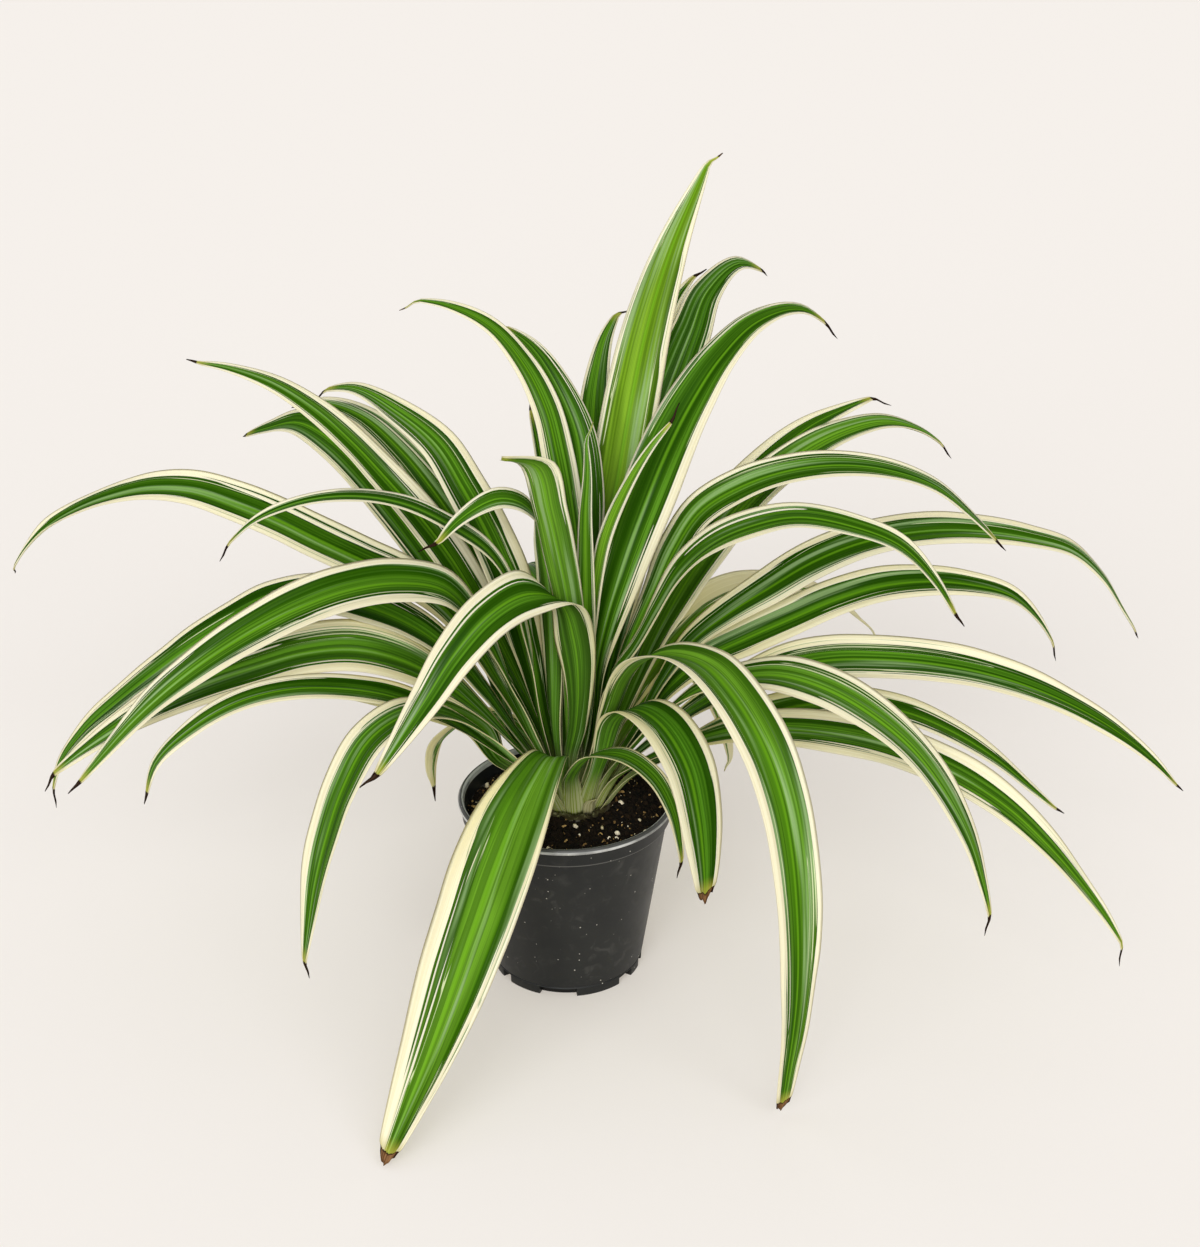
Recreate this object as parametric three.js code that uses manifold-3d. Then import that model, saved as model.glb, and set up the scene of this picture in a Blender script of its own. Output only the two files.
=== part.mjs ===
// Potted spider plant. Units: mm, +Z up. Origin: centre of the pot's foot, on the surface it stands on.
// The plant's front, which faces the viewer, looks along -Y.

import * as THREE from 'three';
import { mergeVertices } from 'three/addons/utils/BufferGeometryUtils.js';
import ManifoldModule from 'manifold-3d';

const wasm = await ManifoldModule();
wasm.setup();

// Driving dimensions.
const GAP = 0.3;
const RAD = Math.PI / 180;

const POT = {
  height: 93,
  lipRadius: 52.5,
  lipHeight: 3,
  skirtRadius: 51,
  skirtHeight: 10.4,
  bodyTopRadius: 49.4,
  footRadius: 37,
  footHeight: 5.5,
  grooveDepth: 0.5,
  wall: 1.3,
  floorUnderside: 4,
  floorThickness: 1.4,
  sides: 56,
};
// Drain notches in one half of the foot, as [from, to] degrees anticlockwise from +X.
const NOTCHES = [[212, 222], [249, 278], [314, 329], [342, 353]];

const SOIL = {
  level: 84,
  swell: 1.3,
  rings: 9,
  sectors: 44,
  grains: 34,
  grainSmall: 1.1,
  grainLarge: 2.3,
  seed: 7,
};

const CROWN = {
  x: 4,
  y: 7,
  radius: 17.6,
  top: 84,
  depth: 12,
};

// The leaf bases stand in shells round the crown's middle: the outer a shell, the further it leans out.
const SHELL = {
  firstRadius: 2.4,
  step: 1.95,
  leans: [88, 85, 81, 75, 68, 59, 49, 38],
  rise: 9,
  reach: 24,
};

const BLADE = {
  thickness: 0.85,
  edgeThickness: 0.65,
  baseWidth: 6.2,
  foldAtBase: 18,
  foldAtMiddle: 14,
  widestAt: 0.46,
  taper: 1.15,
  segmentLength: 23,
  twist: [0.5, 0.85],
  fineTip: 0.9,
  tornTip: 8,
  leastSegments: 8,
};

// Each blade: its shell, its heading (degrees anticlockwise from +X), the points its midrib passes
// beyond the shells as [out from the crown's middle, up from the surface, aside to its left], its
// width, and the turn in degrees that shows its upper face to the front, with another at the tip
// where the blade twists and the shares of its length between which it does so. Its seat is the
// heading at which it stands in the shell, its lean how steeply it rises there.
const BLADES = [
  // upright ones
  { name: 'up_tall', shell: 2, seat: 85, heading: 52, width: 27, turn: 38, widest: 0.55,
    route: [[21, 159, 4], [28, 214, 3], [36, 243, 2], [47, 277, 3], [63, 312, 5], [82, 345, 5],
      [110, 383, 3]] },
  { name: 'up_right', shell: 2, seat: 24, heading: 18, width: 27, turn: 58, tipTurn: 20, widest: 0.55,
    route: [[14, 161, 4], [33, 228, 3], [60, 282, 7], [86, 311, 11], [107, 319, 13],
      [121, 315, 13], [133, 305, 11]] },
  { name: 'up_young', shell: 0, seat: 60, heading: 8, width: 7, turn: 60, widest: 0.6,
    route: [[10, 191, 1], [14, 220, 1], [31, 260, 1], [51, 285, 2]] },
  { name: 'up_behind', shell: 4, seat: 61, heading: 56, width: 26, turn: 34, widest: 0.55,
    route: [[43, 197, -1], [68, 252, 1], [90, 282, 1], [108, 300, 2], [125, 312, 4],
      [143, 319, -3], [158, 309, -11]] },
  { name: 'up_far', shell: 4, seat: 102, heading: 64, width: 22, turn: 26,
    route: [[42, 196, 7], [75, 246, 6], [106, 287, 6], [129, 310, 2], [137, 316, -3]] },
  { name: 'up_middle', shell: 3, seat: 61, heading: 76, width: 19, turn: 14, widest: 0.55,
    route: [[29, 180, 4], [45, 246, 3], [60, 280, 4], [75, 300, 2], [90, 309, -2]] },
  { name: 'up_left', shell: 1, seat: 140, heading: 160, width: 16, turn: 60, tipTurn: 30, widest: 0.55,
    route: [[6, 158, -10], [5, 204, -12], [10, 249, -11], [20, 288, -11], [39, 315, -10],
      [58, 325, -9], [86, 327, -8]] },
  { name: 'up_left_behind', shell: 2, seat: 146, heading: 140, width: 21, turn: 45, tipTurn: 25,
    widest: 0.55,
    route: [[11, 158, -11], [11, 186, -15], [10, 226, -18], [13, 265, -18], [21, 284, -17],
      [42, 310, -12], [58, 315, -9]] },
  { name: 'up_edge', shell: 3, seat: 108, heading: 118, width: 12,
    route: [[28, 179, -9], [45, 235, -8], [61, 273, -7]] },
  { name: 'up_inner', shell: 1, seat: -27, heading: 20, width: 9.5, turn: 64,
    route: [[5, 172, -3], [5, 245, -3], [6, 264, -3], [5, 281, -2]] },
  { name: 'up_pale', shell: 0, seat: 224, heading: 215, width: 18, turn: -50, tipTurn: -38,
    tip: 'torn', widest: 0.86,
    route: [[5, 177, 6], [9, 209, 5], [15, 238, 4], [20, 262, 3], [30, 276, 2], [39, 273, 1]] },
  // left ones
  { name: 'left_01', shell: 2, seat: 208, heading: 205, width: 14, turn: -45, tipTurn: 42,
    twist: [0.52, 0.76], widest: 0.6,
    route: [[7, 170, -11], [9, 210, -13], [18, 239, -13], [38, 247, -8], [64, 235, -4],
      [71, 228, -2]] },
  { name: 'left_02', shell: 3, seat: 200, heading: 190, width: 15, turn: 15,
    route: [[34, 212], [61, 238], [88, 251], [122, 252], [146, 243], [162, 228]] },
  { name: 'left_03', shell: 3, seat: 154, heading: 158, width: 26, turn: 25,
    route: [[37, 205], [52, 233], [67, 258], [88, 273], [112, 282], [133, 277]] },
  { name: 'left_04', shell: 4, seat: 143, heading: 165, width: 21.5, turn: 25,
    route: [[58, 204], [84, 237], [121, 273], [152, 289], [188, 293]] },
  { name: 'left_05', shell: 5, seat: 140, heading: 151, width: 24, turn: 20,
    route: [[56, 205], [82, 238], [104, 256], [128, 266], [160, 258]] },
  { name: 'left_06', shell: 6, seat: 160, heading: 148, width: 24, turn: 26, widest: 0.62,
    route: [[52, 156], [92, 205], [126, 235], [156, 248], [200, 231]] },
  { name: 'left_07', shell: 4, seat: 180, heading: 162, width: 25, turn: 25,
    route: [[70, 182, -1], [119, 201, -1], [159, 215, -1], [200, 224, 2], [244, 212, 2],
      [283, 187, 2], [305, 159, -2]] },
  { name: 'left_08', shell: 4, seat: 218, heading: 198, width: 28, turn: 25,
    route: [[60, 205], [92, 214], [128, 208], [172, 188], [204, 165], [238, 131]] },
  { name: 'left_09', shell: 5, seat: 172, heading: 181, width: 25, turn: 25,
    route: [[60, 167], [90, 187.5], [124, 196], [158, 183], [204, 151], [244, 113], [254, 85]] },
  { name: 'left_10', shell: 5, seat: 205, heading: 192, width: 30, turn: 28,
    route: [[60, 154], [84, 171], [112, 179], [146, 174], [184, 163], [222, 144], [250, 124]] },
  { name: 'left_11', shell: 6, seat: 203, heading: 204, width: 18, turn: 20,
    route: [[78, 154], [112, 170], [150, 176], [180, 168], [203, 150], [208, 131]] },
  { name: 'left_12', shell: 7, seat: 184, heading: 168, width: 20, turn: 15,
    route: [[50, 120], [86, 129], [130, 131]] },
  // front ones
  { name: 'front_01', shell: 1, seat: 246, heading: 226, width: 24, turn: -40, tipTurn: 44,
    twist: [0.36, 0.56], widest: 0.52,
    route: [[5, 135, 7], [8, 177, 8], [17, 201, 7], [32, 209, 5], [51, 209, 4], [74, 199, 4],
      [105, 171, 3], [131, 146, 1]] },
  { name: 'front_02', shell: 6, seat: 231, heading: 218, width: 24, turn: 5, widest: 0.55,
    route: [[64, 150], [88, 163, 2], [108, 166, 4], [129, 147, 5], [147, 104, 4], [157, 50, 1]] },
  { name: 'front_03', shell: 5, seat: 250, heading: 244, width: 42, tip: 'torn',
    route: [[30, 125, 3], [60, 123, 6], [85, 105, 6], [114, 72, 4], [150, 36, 3], [190, 1.6, 1]] },
  { name: 'front_04', shell: 6, lean: 60, seat: 269, heading: 312, width: 12,
    route: [[33, 130, -15], [47, 130, -7], [62, 119, -1], [71, 101], [76, 77]] },
  { name: 'front_05', shell: 5, seat: 298, heading: 303, width: 27, tip: 'torn', widest: 0.6,
    route: [[36, 146], [62, 161], [90, 151], [104, 122], [109, 85]] },
  { name: 'front_06', shell: 4, seat: 300, heading: 305, width: 28.5, tip: 'torn', widest: 0.46,
    route: [[44, 173], [64, 190], [97, 200, 1], [132, 186, 1], [154, 158, 1], [166, 120],
      [170, 70], [163, 1.6]] },
  // right ones
  { name: 'right_01', shell: 5, seat: 330, heading: 330, width: 26, turn: 12,
    route: [[66, 162], [108, 181], [144, 176], [176, 158], [202, 123], [216, 81]] },
  { name: 'right_02', shell: 6, seat: 331, heading: 341, width: 25, turn: 22,
    route: [[78, 138, -4], [123, 147, -5], [162, 143, -4], [207, 123, -2], [249, 84, -2],
      [270, 54, -1]] },
  { name: 'right_03', shell: 7, seat: 345, heading: 350, width: 20, turn: 20,
    route: [[73, 133.5, -2], [114, 149, -1], [152, 149], [189, 133, 2], [234, 97, 4]] },
  { name: 'right_04', shell: 6, seat: 357, heading: 354, width: 27, turn: 25, widest: 0.4,
    route: [[62, 140, 2], [106, 164, 1], [151, 168, 2], [196, 162, 3], [234, 149, 1], [266, 129],
      [289, 106, -1]] },
  { name: 'right_05', shell: 6, seat: 384, heading: 370, width: 24, turn: 25,
    route: [[54, 150], [98, 171], [146, 187], [186, 186], [220, 173], [242, 142]] },
  { name: 'right_06', shell: 5, seat: 5, heading: 14, width: 24, turn: 22,
    route: [[56, 160, 2], [91, 183, 3], [131, 201, 5], [174, 208, 2], [220, 201, 1], [257, 186],
      [293, 137, -2]] },
  { name: 'right_07', shell: 3, seat: 324, heading: 335, width: 20.5, turn: 30, tipTurn: 20,
    route: [[17, 148, -1], [34, 179, 2], [51, 214, 4], [71, 236, 2], [109, 255], [146, 253],
      [164, 245, 1], [185, 215, 3]] },
  { name: 'right_08', shell: 3, seat: 372, heading: 358, width: 21, turn: 30, tipTurn: 20,
    route: [[22, 152, 8], [40, 196, 11], [58, 232, 13], [93, 253, 11], [130, 259, 7],
      [165, 251, 2], [198, 222, -3]] },
  { name: 'right_09', shell: 4, seat: 22, heading: 21, width: 24, turn: 20,
    route: [[46, 174], [72, 212], [104, 242], [138, 257], [168, 257], [196, 238]] },
  { name: 'right_10', shell: 5, seat: 39, heading: 33, width: 23, turn: 20,
    route: [[50, 172], [72, 202], [104, 233], [138, 251], [182, 258]] },
  { name: 'right_11', shell: 6, seat: 52, heading: 38, width: 25, turn: 15,
    route: [[76, 162], [112, 166], [160, 148], [203, 112]] },
  // back ones
  { name: 'back_01', shell: 7, seat: 46, heading: 50, width: 20,
    route: [[58, 122], [92, 114], [118, 76], [128, 44]] },
  { name: 'back_02', shell: 5, seat: 75, heading: 78, width: 26,
    route: [[54, 164], [96, 196], [136, 190], [162, 148]] },
  { name: 'back_03', shell: 6, seat: 102, heading: 104, width: 26,
    route: [[54, 146], [96, 160], [136, 146], [160, 106]] },
  { name: 'back_04', shell: 7, seat: 116, heading: 122, width: 23,
    route: [[54, 128], [88, 142], [120, 124], [138, 86]] },
  { name: 'back_05', shell: 7, seat: 139, heading: 144, width: 20,
    route: [[55, 112], [76, 99], [90, 78], [88, 56]] },
  { name: 'back_06', shell: 7, seat: 82, heading: 84, width: 22,
    route: [[54, 126], [88, 134], [118, 108], [130, 66]] },
];

// The dry, broken base of an old leaf: its part beyond the shell's rise is `reach` long.
const SHEATH = {
  shell: 7,
  heading: 299,
  width: 7.5,
  reach: 6,
  widest: 0.3,
  tipWidth: 2.6,
  route: [],
};

// Small helpers.
function seededRandom(seed) {
  let state = seed;
  return () => {
    state = (state * 1664525 + 1013904223) % 4294967296;
    return state / 4294967296;
  };
}

function toManifold(geometry) {
  const bare = new THREE.BufferGeometry();
  bare.setAttribute('position', geometry.getAttribute('position'));
  if (geometry.index) {
    bare.setIndex(geometry.index);
  }
  const welded = mergeVertices(bare, 1e-4);
  const mesh = new wasm.Mesh({
    numProp: 3,
    vertProperties: new Float32Array(welded.getAttribute('position').array),
    triVerts: new Uint32Array(welded.index.array),
  });
  return new wasm.Manifold(mesh);
}

function fromManifold(solid) {
  const mesh = solid.getMesh();
  const geometry = new THREE.BufferGeometry();
  const positions = new Float32Array(mesh.vertProperties);
  geometry.setAttribute('position', new THREE.BufferAttribute(positions, 3));
  geometry.setIndex(new THREE.BufferAttribute(new Uint32Array(mesh.triVerts), 1));
  return geometry;
}

function solidFrom(points, faces) {
  const geometry = new THREE.BufferGeometry();
  geometry.setAttribute('position', new THREE.Float32BufferAttribute(points.flat(), 3));
  geometry.setIndex(faces.flat());
  return geometry;
}

// A closed profile of [radius, height] points turned round the Z axis.
function turned(profile, segments) {
  const outline = [...profile, profile[0]].map(([r, z]) => new THREE.Vector2(r, z));
  const geometry = new THREE.LatheGeometry(outline, segments);
  geometry.rotateX(Math.PI / 2);
  return geometry;
}

function outward(geometry) {
  const solid = toManifold(geometry);
  if (solid.volume() < 0) {
    geometry.index.array.reverse();
    return toManifold(geometry);
  }
  return solid;
}

function named(name, geometry, color, roughness) {
  geometry.computeVertexNormals();
  const material = new THREE.MeshStandardMaterial({ color, roughness, metalness: 0 });
  const mesh = new THREE.Mesh(geometry, material);
  mesh.name = name;
  return mesh;
}

// The pot.
function bodyRadiusAt(z) {
  const share = (z - POT.footHeight) / (POT.height - POT.skirtHeight - POT.footHeight);
  return POT.footRadius + share * (POT.bodyTopRadius - POT.footRadius);
}

function innerRadiusAt(z) {
  return bodyRadiusAt(Math.min(z, POT.height - POT.skirtHeight)) - POT.wall;
}

function sector(r0, r1, z0, z1, from, to) {
  const shape = new THREE.Shape();
  shape.absarc(0, 0, r1, from * RAD, to * RAD, false);
  shape.absarc(0, 0, r0, to * RAD, from * RAD, true);
  const options = { depth: z1 - z0, bevelEnabled: false, curveSegments: 4 };
  const geometry = new THREE.ExtrudeGeometry(shape, options);
  geometry.translate(0, 0, z0);
  return outward(geometry);
}

function makePot() {
  const skirtBottom = POT.height - POT.skirtHeight;
  const lipBottom = POT.height - POT.lipHeight;
  const floorTop = POT.floorUnderside + POT.floorThickness;
  const profile = [
    [POT.footRadius - 2.2, 0],
    [POT.footRadius - 0.2, 0],
    [POT.footRadius, POT.footHeight - 0.8],
    [POT.footRadius - POT.grooveDepth, POT.footHeight - 0.3],
    [bodyRadiusAt(POT.footHeight + 0.4), POT.footHeight + 0.4],
    [bodyRadiusAt(skirtBottom), skirtBottom],
    [POT.skirtRadius - 0.6, skirtBottom + 0.5],
    [POT.skirtRadius, lipBottom],
    [POT.lipRadius - 0.4, lipBottom + 0.3],
    [POT.lipRadius, lipBottom + 1],
    [POT.lipRadius - 0.5, POT.height - 0.9],
    [POT.lipRadius - 1.3, POT.height],
    [POT.lipRadius - 2.6, POT.height - 0.4],
    [POT.lipRadius - 3.2, POT.height - 2.4],
    [innerRadiusAt(skirtBottom), skirtBottom],
    [innerRadiusAt(floorTop), floorTop],
    [0, floorTop],
    [0, POT.floorUnderside],
    [POT.footRadius - 2.2, POT.floorUnderside],
  ];
  let pot = outward(turned(profile, POT.sides));
  for (const half of [0, 180]) {
    for (const [from, to] of NOTCHES) {
      pot = pot.subtract(sector(31, 40, -1, 3.4, from + half, to + half));
      pot = pot.subtract(sector(29, 33.4, 2, floorTop + 1, from + half + 1, to + half - 1));
    }
  }
  return fromManifold(pot);
}

// The potting mix.
function soilRelief(x, y) {
  const broad = Math.sin(x * 0.13 + 1.1) * Math.cos(y * 0.17 - 0.4);
  const lumps = Math.sin(x * 0.55 + y * 0.31) * Math.sin(y * 0.63 - x * 0.21 + 2);
  return SOIL.swell * (0.55 * broad + 0.45 * lumps);
}

function soilHeight(x, y) {
  const fromCrown = Math.hypot(x - CROWN.x, y - CROWN.y) - CROWN.radius;
  const calm = Math.min(1, Math.max(0, fromCrown / 8));
  return SOIL.level + 0.6 * (1 - calm) + calm * soilRelief(x, y);
}

function makeSoilBody() {
  const bottom = POT.floorUnderside + POT.floorThickness + GAP;
  const outer = innerRadiusAt(SOIL.level) - GAP;
  const holeRadius = CROWN.radius + GAP;
  const holeBottom = CROWN.top - CROWN.depth - GAP;
  const points = [];
  const ringStart = (ring) => ring * SOIL.sectors;
  for (let ring = 0; ring <= SOIL.rings; ring += 1) {
    for (let sectorIndex = 0; sectorIndex < SOIL.sectors; sectorIndex += 1) {
      const angle = (sectorIndex / SOIL.sectors) * 2 * Math.PI;
      const inner = [CROWN.x + holeRadius * Math.cos(angle), CROWN.y + holeRadius * Math.sin(angle)];
      const rim = [outer * Math.cos(angle), outer * Math.sin(angle)];
      const share = (ring / SOIL.rings) ** 0.85;
      const x = inner[0] + share * (rim[0] - inner[0]);
      const y = inner[1] + share * (rim[1] - inner[1]);
      points.push([x, y, soilHeight(x, y)]);
    }
  }
  const wallRing = SOIL.rings + 1;
  for (const z of [SOIL.level - 14, bottom]) {
    const radius = innerRadiusAt(z) - GAP;
    for (let sectorIndex = 0; sectorIndex < SOIL.sectors; sectorIndex += 1) {
      const angle = (sectorIndex / SOIL.sectors) * 2 * Math.PI;
      points.push([radius * Math.cos(angle), radius * Math.sin(angle), z]);
    }
  }
  for (let sectorIndex = 0; sectorIndex < SOIL.sectors; sectorIndex += 1) {
    const angle = (sectorIndex / SOIL.sectors) * 2 * Math.PI;
    const x = CROWN.x + holeRadius * Math.cos(angle);
    const y = CROWN.y + holeRadius * Math.sin(angle);
    points.push([x, y, holeBottom]);
  }
  const faces = [];
  const band = (a, b) => {
    for (let i = 0; i < SOIL.sectors; i += 1) {
      const next = (i + 1) % SOIL.sectors;
      faces.push([a + i, b + i, b + next], [a + i, b + next, a + next]);
    }
  };
  for (let ring = 0; ring < SOIL.rings + 2; ring += 1) {
    band(ringStart(ring), ringStart(ring + 1));
  }
  const floorCentre = points.length;
  points.push([0, 0, bottom]);
  const holeCentre = points.length;
  points.push([CROWN.x, CROWN.y, holeBottom]);
  const floorRing = ringStart(wallRing + 1);
  const holeRing = ringStart(wallRing + 2);
  band(holeRing, 0);
  for (let i = 0; i < SOIL.sectors; i += 1) {
    const next = (i + 1) % SOIL.sectors;
    faces.push([floorRing + i, floorCentre, floorRing + next]);
    faces.push([holeCentre, holeRing + i, holeRing + next]);
  }
  return outward(solidFrom(points, faces));
}

function makeSoil() {
  let soil = makeSoilBody();
  const random = seededRandom(SOIL.seed);
  const grains = [];
  while (grains.length < SOIL.grains) {
    const angle = random() * 2 * Math.PI;
    const radius = Math.sqrt(random()) * (innerRadiusAt(SOIL.level) - 4);
    const size = SOIL.grainSmall + random() ** 2 * (SOIL.grainLarge - SOIL.grainSmall);
    const spin = random() * Math.PI;
    const x = radius * Math.cos(angle);
    const y = radius * Math.sin(angle);
    const clearOfCrown = Math.hypot(x - CROWN.x, y - CROWN.y) > CROWN.radius + size + 1.5;
    const clearOfOthers = grains.every((g) => Math.hypot(g.x - x, g.y - y) > g.size + size + 0.3);
    if (clearOfCrown && clearOfOthers) {
      grains.push({ x, y, size, spin });
    }
  }
  for (const { x, y, size, spin } of grains) {
    const grain = new THREE.OctahedronGeometry(size, 0);
    grain.rotateX(spin);
    grain.rotateZ(spin * 3);
    grain.translate(x, y, soilHeight(x, y) + size * 0.15);
    soil = soil.add(toManifold(grain));
  }
  return fromManifold(soil);
}

// The crown.
function makeCrown() {
  const bottom = CROWN.top - CROWN.depth;
  const profile = [
    [0, bottom],
    [CROWN.radius - 4, bottom],
    [CROWN.radius, bottom + 4],
    [CROWN.radius, CROWN.top],
    [0, CROWN.top],
  ];
  const geometry = turned(profile, 32);
  geometry.translate(CROWN.x, CROWN.y, 0);
  return fromManifold(outward(geometry));
}

// The blades.
// The first three points of a blade's midrib: up from its seat in its shell, then out at the shell's lean.
function shellStart(blade) {
  const { shell, heading } = blade;
  const seat = blade.seat ?? heading;
  const lean = (blade.lean ?? SHELL.leans[shell]) * RAD;
  const reach = blade.reach ?? SHELL.reach;
  const radius = SHELL.firstRadius + shell * SHELL.step;
  const foot = CROWN.top + GAP;
  const bend = radius + 0.25 * SHELL.rise * Math.cos(lean);
  const end = bend + reach * Math.cos(lean);
  const across = (seat - heading) * RAD;
  const place = (out, up) => [out * Math.cos(across), up, out * Math.sin(across)];
  return [
    place(radius, foot),
    place(bend, foot + SHELL.rise),
    place(end, foot + SHELL.rise + reach * Math.sin(lean)),
  ];
}

function midrib(points, heading) {
  const out = new THREE.Vector3(Math.cos(heading), Math.sin(heading), 0);
  const left = new THREE.Vector3(-Math.sin(heading), Math.cos(heading), 0);
  const places = points.map(([reach, up, aside = 0]) => new THREE.Vector3(CROWN.x, CROWN.y, up)
    .addScaledVector(out, reach)
    .addScaledVector(left, aside));
  return new THREE.CatmullRomCurve3(places, false, 'centripetal');
}

function smooth(from, to, value) {
  const t = Math.min(1, Math.max(0, (value - from) / (to - from)));
  return t * t * (3 - 2 * t);
}

function halfWidthAt(u, blade) {
  const half = blade.width / 2;
  const widest = blade.widest ?? BLADE.widestAt;
  if (u < widest) {
    const base = Math.min(half, BLADE.baseWidth / 2);
    return base + (half - base) * smooth(0.02, widest, u);
  }
  const tip = (blade.tipWidth ?? (blade.tip === 'torn' ? BLADE.tornTip : BLADE.fineTip)) / 2;
  const taper = Math.cos((Math.PI / 2) * ((u - widest) / (1 - widest)) ** BLADE.taper);
  return tip + (half - tip) * taper;
}

function bladeRing(curve, u, blade) {
  const place = curve.getPointAt(u);
  const along = curve.getTangentAt(u);
  const seat = blade.seat ?? blade.heading;
  const facing = (blade.heading + (seat - blade.heading) * (1 - smooth(0.04, 0.3, u))) * RAD;
  const left = new THREE.Vector3(-Math.sin(facing), Math.cos(facing), 0);
  left.addScaledVector(along, -left.dot(along)).normalize();
  const towardFront = Math.cos(blade.heading * RAD) >= 0 ? 1 : -1;
  const turn = blade.turn ?? 0;
  const tipTurn = blade.tipTurn ?? turn;
  const [from, to] = blade.twist ?? BLADE.twist;
  const roll = turn * smooth(0.08, Math.min(0.4, from), u) + (tipTurn - turn) * smooth(from, to, u);
  left.applyAxisAngle(along, towardFront * roll * RAD);
  const upper = new THREE.Vector3().crossVectors(along, left);
  const flattening = (BLADE.foldAtBase - BLADE.foldAtMiddle) * smooth(0, 0.4, u);
  const fold = (BLADE.foldAtBase - flattening) * RAD;
  const half = halfWidthAt(u, blade);
  const middle = BLADE.thickness / 2;
  const edge = BLADE.edgeThickness / 2;
  const at = (s, n) => place.clone().addScaledVector(left, s).addScaledVector(upper, n).toArray();
  const edgeAside = half * Math.cos(fold);
  const edgeUp = half * Math.sin(fold);
  return [
    at(edgeAside, edgeUp + edge),
    at(0, middle),
    at(-edgeAside, edgeUp + edge),
    at(-edgeAside, edgeUp - edge),
    at(0, -middle),
    at(edgeAside, edgeUp - edge),
  ];
}

function makeBlade(blade) {
  const curve = midrib([...shellStart(blade), ...blade.route], blade.heading * RAD);
  const steps = Math.max(BLADE.leastSegments, Math.round(curve.getLength() / BLADE.segmentLength));
  const points = [];
  for (let i = 0; i <= steps; i += 1) {
    points.push(...bladeRing(curve, i / steps, blade));
  }
  const faces = [];
  // Columns run left edge, midrib, right edge on the upper face and back on the lower one. The
  // quads of both faces are split along the same diagonal, so a twisted blade's faces never cross.
  for (let i = 0; i < steps; i += 1) {
    const a = 6 * i;
    const b = a + 6;
    for (const [p, q] of [[0, 1], [2, 3], [3, 4]]) {
      faces.push([a + p, b + p, a + q], [a + q, b + p, b + q]);
    }
    for (const [p, q] of [[1, 2], [4, 5], [5, 0]]) {
      faces.push([a + p, b + p, b + q], [a + p, b + q, a + q]);
    }
  }
  const last = 6 * steps;
  faces.push([0, 1, 5], [5, 1, 4], [4, 1, 2], [4, 2, 3]);
  faces.push([last, last + 5, last + 1], [last + 5, last + 4, last + 1]);
  faces.push([last + 4, last + 2, last + 1], [last + 4, last + 3, last + 2]);
  return fromManifold(outward(solidFrom(points, faces)));
}

// The part.
const group = new THREE.Group();
group.name = 'potted_spider_plant';
group.add(named('pot', makePot(), 0x1c1d1f, 0.55));
group.add(named('potting_mix', makeSoil(), 0x241a14, 0.95));
group.add(named('crown', makeCrown(), 0xcdd6a8, 0.6));
group.add(named('sheath_dry', makeBlade(SHEATH), 0xa78a5c, 0.8));
for (const blade of BLADES) {
  group.add(named(`leaf_${blade.name}`, makeBlade(blade), 0x3f7a24, 0.45));
}

export default group;
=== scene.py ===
"""Looks of a potted spider plant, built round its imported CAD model.

Every blade is drawn afresh along the rings of its CAD solid, by one Geometry Nodes tree, and its
material reads where a point lies across and along the blade. The pot is turned again with rounded
edges, and the potting mix gets its relief, crumbs and grains.
Lengths are in metres unless a name ends in _mm or _MM.
"""

import math
import random
from functools import partial

import bmesh
import bpy
from bpy.props import FloatProperty, FloatVectorProperty, IntProperty, PointerProperty
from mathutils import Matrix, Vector, noise
from mathutils.bvhtree import BVHTree


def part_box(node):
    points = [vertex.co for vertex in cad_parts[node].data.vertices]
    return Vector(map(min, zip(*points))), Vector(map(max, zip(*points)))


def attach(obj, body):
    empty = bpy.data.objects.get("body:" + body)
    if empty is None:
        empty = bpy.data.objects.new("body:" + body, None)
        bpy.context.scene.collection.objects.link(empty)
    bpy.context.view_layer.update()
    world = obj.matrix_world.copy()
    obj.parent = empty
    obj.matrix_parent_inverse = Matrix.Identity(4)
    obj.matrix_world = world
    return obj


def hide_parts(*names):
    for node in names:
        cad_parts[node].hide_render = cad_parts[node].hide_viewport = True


bl_info = {
    "name": "Potted Spider Plant",
    "version": (1, 0, 0),
    "blender": (4, 5, 0),
    "location": "3D View > Sidebar > Plant",
    "description": "Builds the looks of a potted spider plant round its CAD model",
    "category": "Object",
}

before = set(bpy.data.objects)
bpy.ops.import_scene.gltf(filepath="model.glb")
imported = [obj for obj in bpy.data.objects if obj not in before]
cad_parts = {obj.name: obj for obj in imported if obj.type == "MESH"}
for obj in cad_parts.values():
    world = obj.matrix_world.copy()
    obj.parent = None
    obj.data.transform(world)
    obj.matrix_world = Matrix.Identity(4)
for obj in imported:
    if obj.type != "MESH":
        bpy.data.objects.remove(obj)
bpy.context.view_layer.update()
MM = 0.001

CROWN_LOW, CROWN_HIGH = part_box("crown")
CROWN_TOP = Vector(
    ((CROWN_LOW.x + CROWN_HIGH.x) / 2, (CROWN_LOW.y + CROWN_HIGH.y) / 2, CROWN_HIGH.z)
)
CROWN_RADIUS = (CROWN_HIGH.x - CROWN_LOW.x) / 2

# The photograph's view: where the camera stands, how far it looks down, and its focal length.
PICTURE_PX = (1200, 1247)
CAMERA_PLACE = (0.0162, -0.9451, 0.6556)
CAMERA_PITCH = math.radians(26.5)
FOCAL_PX = 2274
SENSOR_MM = 36

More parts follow.
